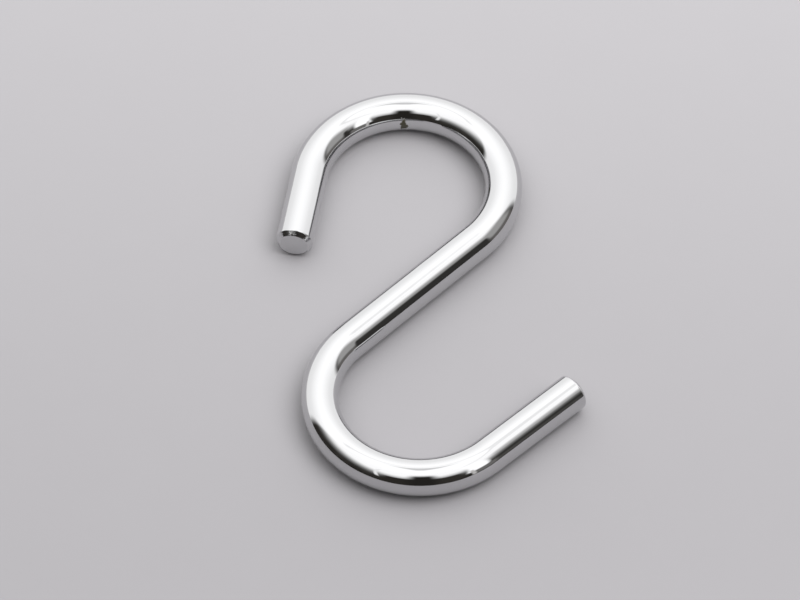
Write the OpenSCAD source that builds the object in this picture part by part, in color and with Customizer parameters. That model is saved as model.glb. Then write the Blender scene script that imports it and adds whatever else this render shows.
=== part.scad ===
// S hook bent from one round steel rod and chrome plated.
// It lies flat on its side: long axis along Y, short leg at +Y, long leg at -Y, the floor at z = 0.
// The origin is the middle of the underside of the hook's bounding box.

/* [Rod] */
// Diameter of the round rod
rod_diameter = 6; // [3:0.5:10]
// Depth and width of the bevel ground round each cut end
end_bevel = 0.7; // [0.2:0.1:1.2]

/* [Shank] */
// Straight length of rod between the two bends
shank_length = 28.4; // [12:0.2:60]
// Angle between the shank and the X axis
shank_slope = 42.2; // [20:0.1:70]

/* [Short-leg bend] */
// Radius of the rod's centre line round the bend at +Y
short_bend_radius = 15.75; // [8:0.05:30]
// Angle that this bend turns the rod through
short_bend_turn = 215.3; // [150:0.1:230]
// Straight length of the leg past this bend
short_leg_length = 14.7; // [3:0.1:30]

/* [Long-leg bend] */
// Radius of the rod's centre line round the bend at -Y
long_bend_radius = 15.75; // [8:0.05:30]
// Angle that this bend turns the rod through
long_bend_turn = 178; // [150:0.1:230]
// Straight length of the leg past this bend
long_leg_length = 19.1; // [3:0.1:40]

/* [Hidden] */
round_steps = 96;
bend_steps = 240;
half_turn = 180;
quarter_turn = 90;
// A leg is this much thinner than its bend and starts this far inside it, so they meet on a circle
joint_step = 0.01;
joint_lap = 0.1;

rod_radius = rod_diameter / 2;
leg_radius = rod_radius - joint_step;
bevelled_radius = rod_radius - end_bevel;
half_shank = shank_length / 2;
short_leg_heading = shank_slope + short_bend_turn;
long_leg_heading = shank_slope + half_turn + long_bend_turn;

// Places in plan, measured from the middle of the shank
short_bend_centre = half_shank * along(shank_slope) + short_bend_radius * across(shank_slope);
short_leg_end = short_bend_centre - short_bend_radius * across(short_leg_heading)
    + short_leg_length * along(short_leg_heading);
long_bend_centre = -half_shank * along(shank_slope) - long_bend_radius * across(shank_slope);
long_leg_end = long_bend_centre - long_bend_radius * across(long_leg_heading)
    + long_leg_length * along(long_leg_heading);

// Bounding box of the hook in plan, whose middle is the origin
high_y = short_bend_centre.y + short_bend_radius + rod_radius;
low_y = long_bend_centre.y - long_bend_radius - rod_radius;
high_x = max(short_bend_centre.x + short_bend_radius + rod_radius,
             long_leg_end.x + end_reach(long_leg_heading));
low_x = min(long_bend_centre.x - long_bend_radius - rod_radius,
            short_leg_end.x - end_reach(short_leg_heading + half_turn));
middle = [(low_x + high_x) / 2, (low_y + high_y) / 2];

function along(heading) = [cos(heading), sin(heading)];
function across(heading) = [-sin(heading), cos(heading)];

// How far a bevelled end stands past the middle of its end face, along X
function end_reach(heading) = max(
    bevelled_radius * abs(sin(heading)),
    leg_radius * abs(sin(heading)) - end_bevel * cos(heading)
);

// A straight length of rod up the Z axis, with a bevel ground round its far end
module leg(length) {
    translate([0, 0, -joint_lap])
        cylinder(r = leg_radius, h = length + joint_lap - end_bevel, $fn = round_steps);
    translate([0, 0, length - end_bevel])
        cylinder(r1 = leg_radius, r2 = bevelled_radius, h = end_bevel, $fn = round_steps);
}

// A bend and its leg round the origin: the rod enters at [bend_radius, 0, 0] and turns left
module bend_and_leg(bend_radius, turn, leg_length) {
    rotate_extrude(angle = turn, $fn = bend_steps)
        translate([bend_radius, 0])
            circle(r = rod_radius, $fn = round_steps);
    rotate(turn)
        translate([bend_radius, 0, 0])
            rotate([-quarter_turn, 0, 0])
                leg(leg_length);
}

module hook() {
    color("silver")
        translate([-middle.x, -middle.y, rod_radius])
            rotate(shank_slope) {
                translate([-half_shank, 0, 0])
                    rotate([0, quarter_turn, 0])
                        cylinder(r = rod_radius, h = shank_length, $fn = round_steps);
                translate([half_shank, short_bend_radius, 0])
                    rotate(-quarter_turn)
                        bend_and_leg(short_bend_radius, short_bend_turn, short_leg_length);
                translate([-half_shank, -long_bend_radius, 0])
                    rotate(quarter_turn)
                        bend_and_leg(long_bend_radius, long_bend_turn, long_leg_length);
            }
}

hook();
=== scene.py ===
"""An s hook of round steel rod, bent cold and chrome plated, lying flat on a plain pale floor."""
import logging
import math
from dataclasses import dataclass, field
from enum import Enum
from typing import Any, Iterable

import bpy
from mathutils import Matrix, Vector


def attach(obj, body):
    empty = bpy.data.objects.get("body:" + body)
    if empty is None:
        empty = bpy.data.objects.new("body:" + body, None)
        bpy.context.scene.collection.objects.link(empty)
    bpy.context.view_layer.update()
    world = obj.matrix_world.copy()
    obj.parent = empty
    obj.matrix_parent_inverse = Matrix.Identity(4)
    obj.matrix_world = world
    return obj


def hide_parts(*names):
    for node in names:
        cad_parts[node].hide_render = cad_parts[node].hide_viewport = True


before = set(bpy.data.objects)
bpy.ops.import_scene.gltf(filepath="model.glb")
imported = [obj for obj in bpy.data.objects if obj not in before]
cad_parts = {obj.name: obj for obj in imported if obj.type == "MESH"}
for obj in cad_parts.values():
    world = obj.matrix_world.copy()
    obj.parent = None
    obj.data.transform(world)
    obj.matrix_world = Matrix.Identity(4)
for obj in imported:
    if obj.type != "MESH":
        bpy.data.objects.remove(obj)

LOG = logging.getLogger("s_hook")
MM = 0.001
NOISE_MIDDLE = 0.5

Triple = tuple[float, float, float]
Row = tuple[float, float, float, float]


class Side(Enum):
    """Which end of the straight shank an arm is bent from."""

    SHORT = 1.0
    LONG = -1.0


class Cut(Enum):
    """How an arm's tip was finished before plating."""

    CHAMFERED = "chamfered"
    TUMBLED = "tumbled"


def linear(hex_code: str) -> tuple[float, float, float, float]:
    """Turn an sRGB colour into the linear colour that shader sockets take.

    Args:
        hex_code: six hex digits, red first.

    Returns:
        Linear red, green, blue and an alpha of one.
    """
    parts = [int(hex_code[i : i + 2], 16) / 255 for i in (0, 2, 4)]
    red, green, blue = (c / 12.92 if c <= 0.04045 else ((c + 0.055) / 1.055) ** 2.4 for c in parts)
    return red, green, blue, 1.0


def add_node(tree: bpy.types.NodeTree, kind: str, settings: dict[str, Any] | None = None,
             links: dict[int | str, Any] | None = None) -> bpy.types.Node:
    """Add one node with its settings, constants and links.

    Args:
        tree: the node tree that takes the node.
        kind: Blender's name for the node type.
        settings: properties of the node by name.
        links: what feeds each input, by its name or number; a socket is linked, anything else is
            set as the input's value.

    Returns:
        The new node.
    """
    node = tree.nodes.new(kind)
    for name, value in (settings or {}).items():
        setattr(node, name, value)
    for key, value in (links or {}).items():
        if isinstance(value, bpy.types.NodeSocket):
            tree.links.new(value, node.inputs[key])
        else:
            node.inputs[key].default_value = value
    return node


def fill_ramp(node: bpy.types.Node, stops: Iterable[tuple[float, float]]) -> None:
    """Give a colour ramp grey stops.

    Args:
        node: the colour ramp node.
        stops: place from 0 to 1, and linear grey, of each stop in order.
    """
    ramp = node.color_ramp
    stops = list(stops)
    while len(ramp.elements) > 1:
        ramp.elements.remove(ramp.elements[-1])
    for number, (place, grey) in enumerate(stops):
        stop = ramp.elements[0] if number == 0 else ramp.elements.new(place)
        stop.position = place
        stop.color = (grey, grey, grey, 1.0)


@dataclass(frozen=True)
class Arm:
    """One bent arm of the hook: an arc that leaves the shank, then a straight leg."""

    side: Side
    bend_radius: float
    turn: float
    leg: float
    cut: Cut

    @property
    def length(self) -> float:
        """Length of the arm along the rod's middle line, in metres."""
        return self.bend_radius * self.turn + self.leg


@dataclass
class RodShape:
    """Sizes of the bent rod, in metres and radians, and where its middle line runs."""

    diameter: float = 6.0 * MM
    shank: float = 28.4 * MM
    slope: float = math.radians(42.2)
    short_arm: Arm = Arm(Side.SHORT, 15.75 * MM, math.radians(215.3), 14.7 * MM, Cut.CHAMFERED)
    long_arm: Arm = Arm(Side.LONG, 15.75 * MM, math.radians(178.0), 19.1 * MM, Cut.TUMBLED)
    bevel: float = 0.7 * MM

    @property
    def radius(self) -> float:
        """Half the rod's thickness."""
        return self.diameter / 2

    def point(self, station: float) -> Vector:
        """Find a point of the middle line before it is turned and centred.

        Args:
            station: signed distance from the middle of the shank; the short arm is positive.

        Returns:
            The point in the plane of the hook.
        """
        half = self.shank / 2
        place = Vector((max(-half, min(half, station)), 0.0))
        arm = self.short_arm if station > 0 else self.long_arm
        run = max(abs(station) - half, 0.0)
        angle = min(run / arm.bend_radius, arm.turn)
        straight = max(run - arm.length + arm.leg, 0.0)
        along = arm.bend_radius * math.sin(angle) + straight * math.cos(angle)
        across = arm.bend_radius * (1 - math.cos(angle)) + straight * math.sin(angle)
        return place + arm.side.value * Vector((along, across))

    def heading(self, station: float) -> float:
        """Angle of the middle line at a station, once the shank is turned to its slope."""
        arm = self.short_arm if station > 0 else self.long_arm
        run = max(abs(station) - self.shank / 2, 0.0)
        return self.slope + min(run / arm.bend_radius, arm.turn)

    def middle(self) -> Vector:
        """Find the middle of the hook's box, about which it is centred.

        Returns:
            The middle of the box in the turned frame, in the plane of the hook.
        """
        last, first = self.ends()
        steps = 4000
        turn = Matrix.Rotation(self.slope, 2)
        sides = []
        for i in range(steps + 1):
            station = first + (last - first) * i / steps
            gap = min(station - first, last - station)
            reach = self.radius - max(self.bevel - gap, 0.0)
            angle = self.heading(station)
            side = reach * Vector((-math.sin(angle), math.cos(angle)))
            place = turn @ self.point(station)
            sides += [place + side, place - side]
        low = Vector((min(p.x for p in sides), min(p.y for p in sides)))
        high = Vector((max(p.x for p in sides), max(p.y for p in sides)))
        return (low + high) / 2

    def ends(self) -> tuple[float, float]:
        """Stations of the short arm's tip and the long arm's tip."""
        return self.shank / 2 + self.short_arm.length, -self.shank / 2 - self.long_arm.length


@dataclass(frozen=True)
class DullDarkSpot:
    """Dull dark olive spot, not metal, on the inside of the short bend."""

    centre: Triple = (-2.30 * MM, 33.95 * MM, 3.15 * MM)
    half_size: Triple = (0.68 * MM, 1.00 * MM, 1.36 * MM)
    tone: str = "403C2A"
    roughness: float = 0.45
    grain: float = 0.6 * MM
    grain_origin: Triple = (-1.93 * MM, 33.95 * MM, 3.25 * MM)
    raggedness: float = 1.7
    edge_inside: float = 0.75
    edge_outside: float = 1.05

    def mask(self, tree: bpy.types.NodeTree, place: bpy.types.NodeSocket) -> bpy.types.NodeSocket:
        """Add the nodes that find the spot.

        Args:
            tree: the material's node tree.
            place: the point of the surface, in the piece's own coordinates.

        Returns:
            One on the spot and nought off it, with a ragged soft edge.
        """
        offset = add_node(tree, "ShaderNodeVectorMath", {"operation": "SUBTRACT"},
                          {0: place, 1: self.centre}).outputs[0]
        scaled = add_node(tree, "ShaderNodeVectorMath", {"operation": "DIVIDE"},
                          {0: offset, 1: self.half_size}).outputs[0]
        grained = add_node(tree, "ShaderNodeVectorMath", {"operation": "ADD"},
                           {0: offset, 1: self.grain_origin}).outputs[0]
        ragged = add_node(tree, "ShaderNodeTexNoise", {}, {
            "Vector": grained, "Scale": 1 / self.grain, "Detail": 2.0}).outputs["Color"]
        centred = add_node(tree, "ShaderNodeVectorMath", {"operation": "SUBTRACT"},
                           {0: ragged, 1: (NOISE_MIDDLE,) * 3}).outputs[0]
        warped = add_node(tree, "ShaderNodeVectorMath", {"operation": "MULTIPLY_ADD"},
                          {0: centred, 1: (self.raggedness,) * 3, 2: scaled}).outputs[0]
        reach = add_node(tree, "ShaderNodeVectorMath", {"operation": "LENGTH"}, {0: warped}).outputs["Value"]
        return add_node(tree, "ShaderNodeMapRange", {"interpolation_type": "SMOOTHSTEP"}, {
            "Value": reach, "From Min": self.edge_outside, "From Max": self.edge_inside}).outputs[0]


@dataclass(frozen=True)
class ChromePlate:
    """Bright chrome on drawn steel rod: a mirror with the faint peel and draw lines of thin plating."""

    name: str = "bright_chrome_plate_on_drawn_steel"
    tint: str = "CBCBCC"
    smoothest: float = 0.021
    roughest: float = 0.056
    haze_size: float = 1.2 * MM
    haze_low: float = 0.3
    haze_high: float = 0.7
    peel_size: float = 3.0 * MM
    peel_height: float = 0.004 * MM
    # Real draw lines are finer than a hair; these are drawn coarser so that they show as faint streaks.
    line_gap: float = 0.55 * MM
    line_height: float = 0.0012 * MM
    line_stretch: float = 0.02
    chatter_size: float = 0.36 * MM
    chatter_height: float = 0.026 * MM
    rod_radius: float = 3.0 * MM
    face_roughness: float = 0.30
    mark: DullDarkSpot = DullDarkSpot()

    def relief(self, tree: bpy.types.NodeTree, place: bpy.types.NodeSocket) -> bpy.types.NodeSocket:
        """Add the surface's three reliefs: orange peel, draw lines, and tool chatter on the cut edge.

        Args:
            tree: the material's node tree.
            place: the point of the surface, in the piece's own coordinates.

        Returns:
            The surface normal with the reliefs on it.
        """
        peel = add_node(tree, "ShaderNodeTexNoise", {}, {
            "Vector": place, "Scale": 1 / self.peel_size, "Detail": 1.0, "Roughness": 0.4})
        peeled = add_node(tree, "ShaderNodeBump", {}, {
            "Height": peel.outputs["Fac"], "Distance": self.peel_height}).outputs[0]
        turn = add_node(tree, "ShaderNodeAttribute", {"attribute_name": "lay"}).outputs["Vector"]
        along = add_node(tree, "ShaderNodeAttribute", {"attribute_name": "along"}).outputs["Fac"]
        slow = add_node(tree, "ShaderNodeMath", {"operation": "MULTIPLY"},
                        {0: along, 1: self.line_stretch}).outputs[0]
        run = add_node(tree, "ShaderNodeCombineXYZ", {}, {2: slow}).outputs[0]
        lay = add_node(tree, "ShaderNodeVectorMath", {"operation": "MULTIPLY_ADD"},
                       {0: turn, 1: (self.rod_radius, self.rod_radius, 0.0), 2: run}).outputs[0]
        lines = add_node(tree, "ShaderNodeTexNoise", {}, {
            "Vector": lay, "Scale": 1 / self.line_gap, "Detail": 2.0})
        drawn = add_node(tree, "ShaderNodeBump", {}, {
            "Height": lines.outputs["Fac"], "Distance": self.line_height, "Normal": peeled}).outputs[0]
        rim = add_node(tree, "ShaderNodeAttribute", {"attribute_name": "rim"}).outputs["Fac"]
        chatter = add_node(tree, "ShaderNodeTexNoise", {}, {
            "Vector": place, "Scale": 1 / self.chatter_size, "Detail": 2.0})
        return add_node(tree, "ShaderNodeBump", {}, {
            "Height": chatter.outputs["Fac"], "Distance": self.chatter_height, "Strength": rim,
            "Normal": drawn}).outputs[0]

    def make(self) -> bpy.types.Material:
        """Build the plating's material.

        Returns:
            The node material.
        """
        # Chrome over drawn steel: a bluish-white mirror whose reflections bend a little and blur by patches.
        material = bpy.data.materials.new(self.name)
        material.use_nodes = True
        tree = material.node_tree
        tree.nodes.clear()
        place = add_node(tree, "ShaderNodeTexCoord").outputs["Object"]
        haze = add_node(tree, "ShaderNodeTexNoise", {}, {
            "Vector": place, "Scale": 1 / self.haze_size, "Detail": 4.0})
        rough = add_node(tree, "ShaderNodeMapRange", {}, {
            "Value": haze.outputs["Fac"], "From Min": self.haze_low, "From Max": self.haze_high,
            "To Min": self.smoothest, "To Max": self.roughest}).outputs[0]
        sawn = add_node(tree, "ShaderNodeAttribute", {"attribute_name": "face"}).outputs["Fac"]
        rough = add_node(tree, "ShaderNodeMix", {"data_type": "FLOAT"}, {
            0: sawn, 2: rough, 3: self.face_roughness}).outputs[0]
        spot = self.mark.mask(tree, place)
        colour = add_node(tree, "ShaderNodeMix", {"data_type": "RGBA"}, {
            0: spot, 6: linear(self.tint), 7: linear(self.mark.tone)}).outputs[2]
        matt = add_node(tree, "ShaderNodeMix", {"data_type": "FLOAT"}, {
            0: spot, 2: rough, 3: self.mark.roughness}).outputs[0]
        metal = add_node(tree, "ShaderNodeMath", {"operation": "SUBTRACT"}, {0: 1.0, 1: spot}).outputs[0]
        shader = add_node(tree, "ShaderNodeBsdfPrincipled", {}, {
            "Base Color": colour, "Metallic": metal, "Roughness": matt,
            "Normal": self.relief(tree, place)})
        add_node(tree, "ShaderNodeOutputMaterial", {}, {"Surface": shader.outputs["BSDF"]})
        return material


@dataclass(frozen=True)
class PaperFloor:
    """Matt pale grey paper with the faintest mottling, and painted shade: its tone is darker towards the near
    side, standing in for light falling off there.
    """

    name: str = "matt_grey_paper"
    shaded_near_tone: str = "959396"
    lit_far_tone: str = "AAA8AB"
    painted_fade_start: float = -62.0 * MM
    painted_fade_end: float = 135.0 * MM
    mottle_size: float = 9.0 * MM
    mottle_depth: float = 0.06
    roughness: float = 0.6
    sheen: float = 0.5
    size: float = 3.0

    def make(self) -> bpy.types.Material:
        """Build the floor's material.

        Returns:
            The node material.
        """
        # Uncoated paper: matt from above, with the soft sheen that paper has when seen along its surface.
        material = bpy.data.materials.new(self.name)
        material.use_nodes = True
        tree = material.node_tree
        tree.nodes.clear()
        place = add_node(tree, "ShaderNodeTexCoord").outputs["Object"]
        mottle = add_node(tree, "ShaderNodeTexNoise", {}, {
            "Vector": place, "Scale": 1 / self.mottle_size, "Detail": 3.0})
        # Painted shade: the tone fades from the lighter far tone to the darker near tone, standing in for
        # light that falls off towards the near side.
        depth = add_node(tree, "ShaderNodeSeparateXYZ", {}, {0: place}).outputs[1]
        painted_fade = add_node(tree, "ShaderNodeMapRange", {"interpolation_type": "SMOOTHSTEP"}, {
            "Value": depth, "From Min": self.painted_fade_start, "From Max": self.painted_fade_end}).outputs[0]
        uneven = add_node(tree, "ShaderNodeMath", {"operation": "MULTIPLY_ADD"},
                          {0: mottle.outputs["Fac"], 1: self.mottle_depth,
                           2: -self.mottle_depth * NOISE_MIDDLE}).outputs[0]
        share = add_node(tree, "ShaderNodeMath", {"operation": "ADD", "use_clamp": True},
                         {0: painted_fade, 1: uneven}).outputs[0]
        tone = add_node(tree, "ShaderNodeMix", {"data_type": "RGBA"}, {
            0: share, 6: linear(self.shaded_near_tone), 7: linear(self.lit_far_tone)})
        shader = add_node(tree, "ShaderNodeBsdfPrincipled", {}, {
            "Base Color": tone.outputs[2], "Roughness": self.roughness,
            "Specular IOR Level": self.sheen})
        add_node(tree, "ShaderNodeOutputMaterial", {}, {"Surface": shader.outputs["BSDF"]})
        return material

    def lay(self) -> bpy.types.Object:
        """Lay the floor under the hook.

        Returns:
            The floor object.
        """
        half = self.size / 2
        mesh = bpy.data.meshes.new("floor")
        mesh.from_pydata([(-half, -half, 0), (half, -half, 0), (half, half, 0), (-half, half, 0)],
                         [], [(0, 1, 2, 3)])
        mesh.materials.append(self.make())
        floor = bpy.data.objects.new("floor", mesh)
        bpy.context.collection.objects.link(floor)
        return floor


@dataclass
class HookRod:
    """The hook's one piece: a bevelled round rod bent at both ends."""

    shape: RodShape = field(default_factory=RodShape)
    finish: ChromePlate = field(default_factory=ChromePlate)
    around: int = 144
    step: float = 0.5 * MM
    wave_height: float = 0.012 * MM
    wave_size: float = 9.0 * MM
    seed: float = 3.7
    crown: float = 0.05 * MM
    lip: float = 0.06 * MM
    corner: float = 0.97
    face_rings: int = 6
    bevel_rings: int = 8

    def end_profile(self, cut: Cut) -> list[Row]:
        """Lay out the rod's thickness near a tip.

        Args:
            cut: how the tip was finished.

        Returns:
            Distance from the tip, radius, share of bevel and share of cut face there, inwards.
        """
        bevel = self.shape.bevel
        edge = self.shape.radius - bevel
        shares = [k / self.face_rings for k in range(1, self.face_rings)] + [self.corner, 1.0]
        face = [(self.crown * share, edge * share, 0.0, 1.0) for share in shares]
        ring = []
        for k in range(1, self.bevel_rings + 1):
            share = k / self.bevel_rings
            rise = share if cut is Cut.CHAMFERED else math.sin(share * math.pi / 2)
            chatter = 1.0 if k < self.bevel_rings else 0.5
            ring.append((self.crown + bevel * share, edge + bevel * rise, chatter, 0.2))
        lip = (self.crown + bevel + self.lip, self.shape.radius, 0.0, 0.0)
        return face + ring + [lip]

    def stations(self) -> list[Row]:
        """List the stations of the middle line with the rod's radius at each.

        Returns:
            Station, radius, share of bevel and of cut face, from the long arm's tip to the short arm's.
        """
        last, first = self.shape.ends()
        low = [(first + row[0], *row[1:]) for row in self.end_profile(self.shape.long_arm.cut)]
        high = [(last - row[0], *row[1:]) for row in reversed(self.end_profile(self.shape.short_arm.cut))]
        start, stop = low[-1][0], high[0][0]
        count = round((stop - start) / self.step)
        body = [(start + (stop - start) * i / count, self.shape.radius, 0.0, 0.0) for i in range(1, count)]
        return low + body + high

    def rail(self) -> bpy.types.Object:
        """Make the straight line of stations that the node tree bends.

        Returns:
            An object whose mesh is a chain of edges, with radius, cut edge and station at each point.
        """
        rows = self.stations()
        mesh = bpy.data.meshes.new("rod_rail")
        mesh.from_pydata([(row[0], 0, 0) for row in rows], [(i, i + 1) for i in range(len(rows) - 1)], [])
        for column, name in enumerate(("along", "girth", "rim", "face")):
            layer = mesh.attributes.new(name, "FLOAT", "POINT")
            layer.data.foreach_set("value", [row[column] for row in rows])
        rail = bpy.data.objects.new("rod_rail", mesh)
        bpy.context.collection.objects.link(rail)
        return rail

    def arm_offset(self, tree: bpy.types.NodeTree, station: bpy.types.NodeSocket, arm: Arm,
                   inputs: dict[str, bpy.types.NodeSocket]) -> bpy.types.NodeSocket:
        """Add the nodes that bend one arm.

        Args:
            tree: the geometry node tree.
            station: signed distance along the rod.
            arm: the arm to bend.
            inputs: the tree's named sizes.

        Returns:
            The arm's offset from the shank's end, as a vector.
        """
        word = arm.side.name.capitalize()

        def sum_of(operation: str, first: Any, second: Any = 0.0) -> bpy.types.NodeSocket:
            """Join two numbers by one operation and return the answer's socket."""
            return add_node(tree, "ShaderNodeMath", {"operation": operation},
                            {0: first, 1: second}).outputs[0]

        half = sum_of("MULTIPLY", inputs["Shank length"], 0.5)
        signed = sum_of("MULTIPLY", station, arm.side.value)
        run = sum_of("MAXIMUM", sum_of("SUBTRACT", signed, half))
        radius = inputs[f"{word} bend radius"]
        turn = inputs[f"{word} bend turn"]
        angle = sum_of("MINIMUM", sum_of("DIVIDE", run, radius), turn)
        straight = sum_of("MAXIMUM", sum_of("SUBTRACT", run, sum_of("MULTIPLY", radius, turn)))
        sine = sum_of("SINE", angle)
        cosine = sum_of("COSINE", angle)
        along = sum_of("ADD", sum_of("MULTIPLY", radius, sine), sum_of("MULTIPLY", straight, cosine))
        rise = sum_of("MULTIPLY", radius, sum_of("SUBTRACT", 1.0, cosine))
        across = sum_of("ADD", rise, sum_of("MULTIPLY", straight, sine))
        joined = add_node(tree, "ShaderNodeCombineXYZ", {}, {0: along, 1: across}).outputs[0]
        return add_node(tree, "ShaderNodeVectorMath", {"operation": "SCALE"},
                        {0: joined, "Scale": arm.side.value}).outputs[0]

    def sweep_tree(self, values: dict[str, Any]) -> tuple[bpy.types.NodeTree, dict[str, str]]:
        """Build the node tree that bends the line and sweeps the rod along it.

        Args:
            values: the tree's named inputs and what each starts at.

        Returns:
            The tree, and each input's identifier by its name.
        """
        tree = bpy.data.node_groups.new("bent_rod", "GeometryNodeTree")
        tree.interface.new_socket("Geometry", in_out="INPUT", socket_type="NodeSocketGeometry")
        tree.interface.new_socket("Geometry", in_out="OUTPUT", socket_type="NodeSocketGeometry")
        names = {}
        for name, value in values.items():
            kind = "NodeSocketVector" if isinstance(value, Vector) else "NodeSocketFloat"
            if isinstance(value, bpy.types.Material):
                kind = "NodeSocketMaterial"
            names[name] = tree.interface.new_socket(name, in_out="INPUT", socket_type=kind).identifier
        start = add_node(tree, "NodeGroupInput")
        sizes = {name: start.outputs[name] for name in values}
        position = add_node(tree, "GeometryNodeInputPosition").outputs[0]
        station = add_node(tree, "ShaderNodeSeparateXYZ", {}, {0: position}).outputs[0]
        short_end = add_node(tree, "ShaderNodeMath", {"operation": "MULTIPLY"},
                             {0: sizes["Shank length"], 1: 0.5}).outputs[0]
        long_end = add_node(tree, "ShaderNodeMath", {"operation": "MULTIPLY"},
                            {0: sizes["Shank length"], 1: -0.5}).outputs[0]
        shank = add_node(tree, "ShaderNodeClamp", {},
                         {"Value": station, "Min": long_end, "Max": short_end}).outputs[0]
        spot = add_node(tree, "ShaderNodeCombineXYZ", {}, {0: shank}).outputs[0]
        for arm in (self.shape.short_arm, self.shape.long_arm):
            offset = self.arm_offset(tree, station, arm, sizes)
            spot = add_node(tree, "ShaderNodeVectorMath", {"operation": "ADD"},
                            {0: spot, 1: offset}).outputs[0]
        turned = add_node(tree, "ShaderNodeVectorRotate", {"rotation_type": "Z_AXIS"},
                          {"Vector": spot, "Angle": sizes["Shank slope"]}).outputs[0]
        placed = add_node(tree, "ShaderNodeVectorMath", {"operation": "SUBTRACT"},
                          {0: turned, 1: sizes["Middle"]}).outputs[0]
        bent = add_node(tree, "GeometryNodeSetPosition", {},
                        {"Geometry": start.outputs["Geometry"], "Position": placed}).outputs[0]
        curve = add_node(tree, "GeometryNodeMeshToCurve", {}, {"Mesh": bent}).outputs[0]
        upright = add_node(tree, "GeometryNodeSetCurveNormal", {"mode": "Z_UP"}, {"Curve": curve}).outputs[0]
        girth = add_node(tree, "GeometryNodeInputNamedAttribute", {"data_type": "FLOAT"}, {"Name": "girth"})
        circle = add_node(tree, "GeometryNodeCurvePrimitiveCircle", {"mode": "RADIUS"},
                          {"Resolution": self.around, "Radius": 1.0}).outputs[0]
        marked = add_node(tree, "GeometryNodeStoreNamedAttribute", {"data_type": "FLOAT_VECTOR"},
                          {"Geometry": circle, "Name": "lay", "Value": position}).outputs[0]
        tube = add_node(tree, "GeometryNodeCurveToMesh", {},
                        {"Curve": upright, "Profile Curve": marked, "Scale": girth.outputs["Attribute"],
                         "Fill Caps": True}).outputs[0]
        ripple = add_node(tree, "ShaderNodeTexNoise", {"noise_dimensions": "4D"}, {
            "W": self.seed, "Scale": sizes["Wave scale"], "Detail": 1.0}).outputs[0]
        centred = add_node(tree, "ShaderNodeMath", {"operation": "SUBTRACT"},
                           {0: ripple, 1: NOISE_MIDDLE}).outputs[0]
        height = add_node(tree, "ShaderNodeMath", {"operation": "MULTIPLY"},
                          {0: centred, 1: sizes["Wave height"]}).outputs[0]
        normal = add_node(tree, "GeometryNodeInputNormal").outputs[0]
        push = add_node(tree, "ShaderNodeVectorMath", {"operation": "SCALE"},
                        {0: normal, "Scale": height}).outputs[0]
        waved = add_node(tree, "GeometryNodeSetPosition", {}, {"Geometry": tube, "Offset": push}).outputs[0]
        smooth = add_node(tree, "GeometryNodeSetShadeSmooth", {}, {"Geometry": waved}).outputs[0]
        real = add_node(tree, "GeometryNodeRealizeInstances", {}, {"Geometry": smooth}).outputs[0]
        dressed = add_node(tree, "GeometryNodeSetMaterial", {},
                           {"Geometry": real, "Material": sizes["Plate"]}).outputs[0]
        add_node(tree, "NodeGroupOutput", {}, {"Geometry": dressed})
        return tree, names

    def build(self) -> bpy.types.Object:
        """Bend and sweep the rod and turn it into a plain mesh.

        Returns:
            The rod, at the origin, with its place in its mesh.
        """
        shape = self.shape
        middle = shape.middle()
        values = {
            "Shank length": shape.shank,
            "Shank slope": shape.slope,
            "Short bend radius": shape.short_arm.bend_radius,
            "Short bend turn": shape.short_arm.turn,
            "Long bend radius": shape.long_arm.bend_radius,
            "Long bend turn": shape.long_arm.turn,
            "Middle": Vector((middle.x, middle.y, -shape.radius)),
            "Wave scale": 1 / self.wave_size,
            "Wave height": self.wave_height,
            "Plate": self.finish.make(),
        }
        tree, names = self.sweep_tree(values)
        rail = self.rail()
        sweep = rail.modifiers.new("bent_rod", "NODES")
        sweep.node_group = tree
        for name, value in values.items():
            sweep[names[name]] = value
        graph = bpy.context.evaluated_depsgraph_get()
        mesh = bpy.data.meshes.new_from_object(rail.evaluated_get(graph))
        mesh.name = "hook_rod"
        bpy.data.objects.remove(rail)
        rod = bpy.data.objects.new("hook_rod", mesh)
        bpy.context.collection.objects.link(rod)
        return rod

    def dress(self, rod: bpy.types.Object) -> None:
        """Attach the rod to the root body and hide the CAD solid that it stands for.

        Args:
            rod: the finished rod.
        """
        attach(rod, "root")
        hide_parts("hook")


@dataclass(frozen=True)
class Patch:
    """One soft-edged area of the tent, by its compass angle and height, in degrees.

    Angles count from the far side of the hook, clockwise as seen from above.
    """

    name: str
    azimuth: float
    half_width: float
    low: float
    high: float
    shade: str
    gain: float = 1.0
    side_blur: float = 3.0
    height_blur: float = 6.0
    lean: float = 0.0


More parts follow.
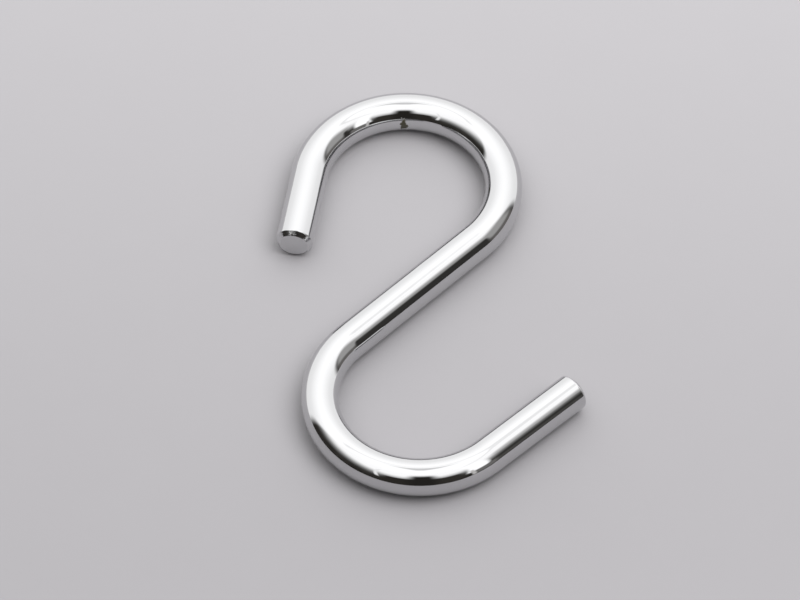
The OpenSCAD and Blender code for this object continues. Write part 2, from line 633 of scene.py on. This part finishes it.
@dataclass
class Studio:
    """Soft white tent round the hook, open to a dark room on the near side, and one lamp above it to the
    right.
    """

    strength: float = 1.0
    near_stops: tuple[tuple[float, float], ...] = (
        (0.0, 0.004), (12.0, 0.006), (18.0, 0.012), (24.0, 0.042), (30.0, 0.18), (36.0, 0.42),
        (42.0, 0.82), (48.0, 1.28), (54.0, 1.57), (90.0, 1.70))
    far_stops: tuple[tuple[float, float], ...] = (
        (0.0, 1.24), (12.0, 1.27), (25.0, 1.33), (42.0, 1.53), (54.0, 1.70), (90.0, 1.70))
    far_half_width: float = 71.0
    far_blur: float = 5.0
    patches: tuple[Patch, ...] = (
        Patch("side_wall", 91.0, 15.0, 14.0, 46.0, "FBFAF8", 0.52, 5.0, 9.0),
        Patch("side_wall_foot", 91.0, 15.0, -4.0, 12.0, "FFF9F4", 0.20, 5.0, 5.0),
        Patch("wall_gap", 110.5, 3.0, -10.0, 34.0, "FFFAF4", 0.045, 2.0, 5.0, -0.20),
        Patch("near_panel", 126.0, 10.5, 20.0, 70.0, "FFFFFF", 1.70, 3.0, 4.0, -0.25),
        Patch("near_panel_foot", 126.0, 10.5, 3.0, 20.0, "FFFCF8", 0.22, 3.0, 4.0),
        Patch("room_left", -160.0, 15.0, -10.0, 38.0, "FFF3E6", 0.036, 5.0, 3.0),
        Patch("room_right", 160.0, 15.0, -10.0, 37.0, "FFF3E6", 0.046, 5.0, 3.0),
        Patch("panel_stand", 137.5, 1.8, 2.0, 30.0, "FFFCFA", 0.75, 1.2, 4.0),
        Patch("opening_edge", -135.5, 1.8, 24.0, 60.0, "FFFFFF", 1.30, 1.0, 5.0, 0.30),
        Patch("lens_hood", 180.0, 12.5, -10.0, 58.5, "FFF4EA", 0.026, 7.0, 8.0),
        Patch("ceiling_joint", 6.0, 20.0, 71.5, 86.0, "FFFFFF", 0.98, 8.0, 3.0),
        Patch("ceiling_seam", 40.0, 85.0, 64.0, 66.0, "FFFFFF", 1.30, 10.0, 1.2),
    )
    clutter_scale: float = 7.0
    clutter_light: Triple = (0.064, 0.059, 0.051)
    lamp_place: Triple = (0.32, -0.08, 0.64)
    lamp_size: float = 0.60
    lamp_power: float = 3.2

    def world(self) -> None:
        """Build the tent's brightness, by compass angle and height above the floor."""
        world = bpy.data.worlds.new("soft_tent")
        bpy.context.scene.world = world
        world.use_nodes = True
        tree = world.node_tree
        tree.nodes.clear()
        way = add_node(tree, "ShaderNodeTexCoord").outputs["Generated"]
        flat = add_node(tree, "ShaderNodeSeparateXYZ", {}, {0: way})
        height = add_node(tree, "ShaderNodeMath", {"operation": "ARCSINE"}, {0: flat.outputs[2]}).outputs[0]
        azimuth = add_node(tree, "ShaderNodeMath", {"operation": "ARCTAN2"},
                           {0: flat.outputs[0], 1: flat.outputs[1]}).outputs[0]
        share = add_node(tree, "ShaderNodeMath", {"operation": "DIVIDE"},
                         {0: height, 1: math.pi / 2}).outputs[0]
        near = add_node(tree, "ShaderNodeValToRGB", {}, {"Fac": share})
        fill_ramp(near, [(angle / 90, grey) for angle, grey in self.near_stops])
        far = add_node(tree, "ShaderNodeValToRGB", {}, {"Fac": share})
        fill_ramp(far, [(angle / 90, grey) for angle, grey in self.far_stops])
        aside = add_node(tree, "ShaderNodeMath", {"operation": "ABSOLUTE"}, {0: azimuth}).outputs[0]
        front = add_node(tree, "ShaderNodeMapRange", {"interpolation_type": "SMOOTHSTEP"}, {
            "Value": aside, "From Min": math.radians(self.far_half_width - self.far_blur),
            "From Max": math.radians(self.far_half_width + self.far_blur)}).outputs[0]
        clutter = add_node(tree, "ShaderNodeTexNoise", {}, {
            "Vector": way, "Scale": self.clutter_scale, "Detail": 2.0}).outputs["Fac"]
        room = add_node(tree, "ShaderNodeVectorMath", {"operation": "MULTIPLY_ADD"},
                        {0: clutter, 1: self.clutter_light, 2: near.outputs[0]}).outputs[0]
        light = add_node(tree, "ShaderNodeMix", {"data_type": "RGBA"}, {
            0: front, 6: far.outputs[0], 7: room}).outputs[2]
        for patch in self.patches:
            light = self.lay_patch(tree, light, azimuth, height, patch)
        shader = add_node(tree, "ShaderNodeBackground", {}, {"Color": light, "Strength": self.strength})
        add_node(tree, "ShaderNodeOutputWorld", {}, {"Surface": shader.outputs[0]})

    def lay_patch(self, tree: bpy.types.NodeTree, below: bpy.types.NodeSocket, azimuth: bpy.types.NodeSocket,
                  height: bpy.types.NodeSocket, patch: Patch) -> bpy.types.NodeSocket:
        """Lay one patch of the tent over what is there.

        Args:
            tree: the world's node tree.
            below: the light before the patch.
            azimuth: compass angle, in radians.
            height: angle above the floor, in radians.
            patch: the patch to lay.

        Returns:
            The light with the patch over it.
        """
        middle = math.radians((patch.low + patch.high) / 2)
        lean = add_node(tree, "ShaderNodeMath", {"operation": "SUBTRACT"}, {0: height, 1: middle}).outputs[0]
        shift = add_node(tree, "ShaderNodeMath", {"operation": "MULTIPLY_ADD"},
                         {0: lean, 1: patch.lean, 2: math.radians(patch.azimuth)}).outputs[0]
        apart = add_node(tree, "ShaderNodeMath", {"operation": "SUBTRACT"}, {0: azimuth, 1: shift}).outputs[0]
        near = add_node(tree, "ShaderNodeMath", {"operation": "WRAP"},
                        {0: apart, 1: math.pi, 2: -math.pi}).outputs[0]
        aside = add_node(tree, "ShaderNodeMath", {"operation": "ABSOLUTE"}, {0: near}).outputs[0]
        soft = {"interpolation_type": "SMOOTHSTEP"}
        across = add_node(tree, "ShaderNodeMapRange", soft, {
            "Value": aside, "From Min": math.radians(patch.half_width + patch.side_blur),
            "From Max": math.radians(patch.half_width - patch.side_blur)}).outputs[0]
        over = add_node(tree, "ShaderNodeMapRange", soft, {
            "Value": height, "From Min": math.radians(patch.low - patch.height_blur),
            "From Max": math.radians(patch.low + patch.height_blur)}).outputs[0]
        under = add_node(tree, "ShaderNodeMapRange", soft, {
            "Value": height, "From Min": math.radians(patch.high + patch.height_blur),
            "From Max": math.radians(patch.high - patch.height_blur)}).outputs[0]
        band = add_node(tree, "ShaderNodeMath", {"operation": "MULTIPLY"}, {0: over, 1: under}).outputs[0]
        mask = add_node(tree, "ShaderNodeMath", {"operation": "MULTIPLY"}, {0: band, 1: across}).outputs[0]
        red, green, blue, _ = linear(patch.shade)
        return add_node(tree, "ShaderNodeMix", {"data_type": "RGBA", "label": patch.name}, {
            0: mask, 6: below,
            7: (red * patch.gain, green * patch.gain, blue * patch.gain, 1.0)}).outputs[2]

    def lamp(self) -> None:
        """Hang the soft lamp above the hook, off to its right; the floor's lighter far side is painted light
        in the floor's tone, not this lamp's.
        """
        data = bpy.data.lights.new("right_lamp", "AREA")
        data.shape = "DISK"
        data.size = self.lamp_size
        data.energy = self.lamp_power
        lamp = bpy.data.objects.new("right_lamp", data)
        bpy.context.collection.objects.link(lamp)
        lamp.location = self.lamp_place
        lamp.rotation_mode = "QUATERNION"
        lamp.rotation_quaternion = (-Vector(self.lamp_place)).to_track_quat("-Z", "Y")
        lamp.visible_camera = False
        lamp.visible_glossy = False

    def light(self) -> None:
        """Light the scene with the tent and the lamp."""
        self.world()
        self.lamp()


@dataclass
class ProductCamera:
    """Long-lens camera that looks down at the hook, in metres and degrees."""

    azimuth: float = -2.72
    elevation: float = 52.3
    distance: float = 1.5
    lens: float = 423.2
    sensor: float = 36.0
    nearest: float = 0.05
    farthest: float = 20.0
    target: Triple = (-4.56 * MM, -1.61 * MM, 3.0 * MM)

    def place(self) -> bpy.types.Object:
        """Stand the camera on its line of sight and make it the scene's camera.

        Returns:
            The camera object.
        """
        turn = math.radians(self.azimuth)
        tilt = math.radians(self.elevation)
        back = Vector((math.sin(turn) * math.cos(tilt), -math.cos(turn) * math.cos(tilt), math.sin(tilt)))
        data = bpy.data.cameras.new("camera")
        data.lens = self.lens
        data.sensor_width = self.sensor
        data.clip_start = self.nearest
        data.clip_end = self.farthest
        camera = bpy.data.objects.new("camera", data)
        bpy.context.collection.objects.link(camera)
        camera.location = Vector(self.target) + back * self.distance
        camera.rotation_mode = "QUATERNION"
        camera.rotation_quaternion = (-back).to_track_quat("-Z", "Y")
        bpy.context.scene.camera = camera
        return camera


def main() -> None:
    """Build the hook, the floor, the light and the camera, and log the hook, the floor and the tent."""
    logging.basicConfig(level=logging.INFO, format="%(name)s: %(message)s")
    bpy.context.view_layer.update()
    bpy.context.scene.view_settings.view_transform = "Standard"
    ProductCamera().place()
    rod = HookRod()
    piece = rod.build()
    rod.dress(piece)
    LOG.info("%s: %d faces", piece.name, len(piece.data.polygons))
    floor = PaperFloor().lay()
    LOG.info("%s: %.1f m wide", floor.name, floor.dimensions.x)
    studio = Studio()
    studio.light()
    LOG.info("tent: %d patches", len(studio.patches))


if __name__ == "__main__":
    main()
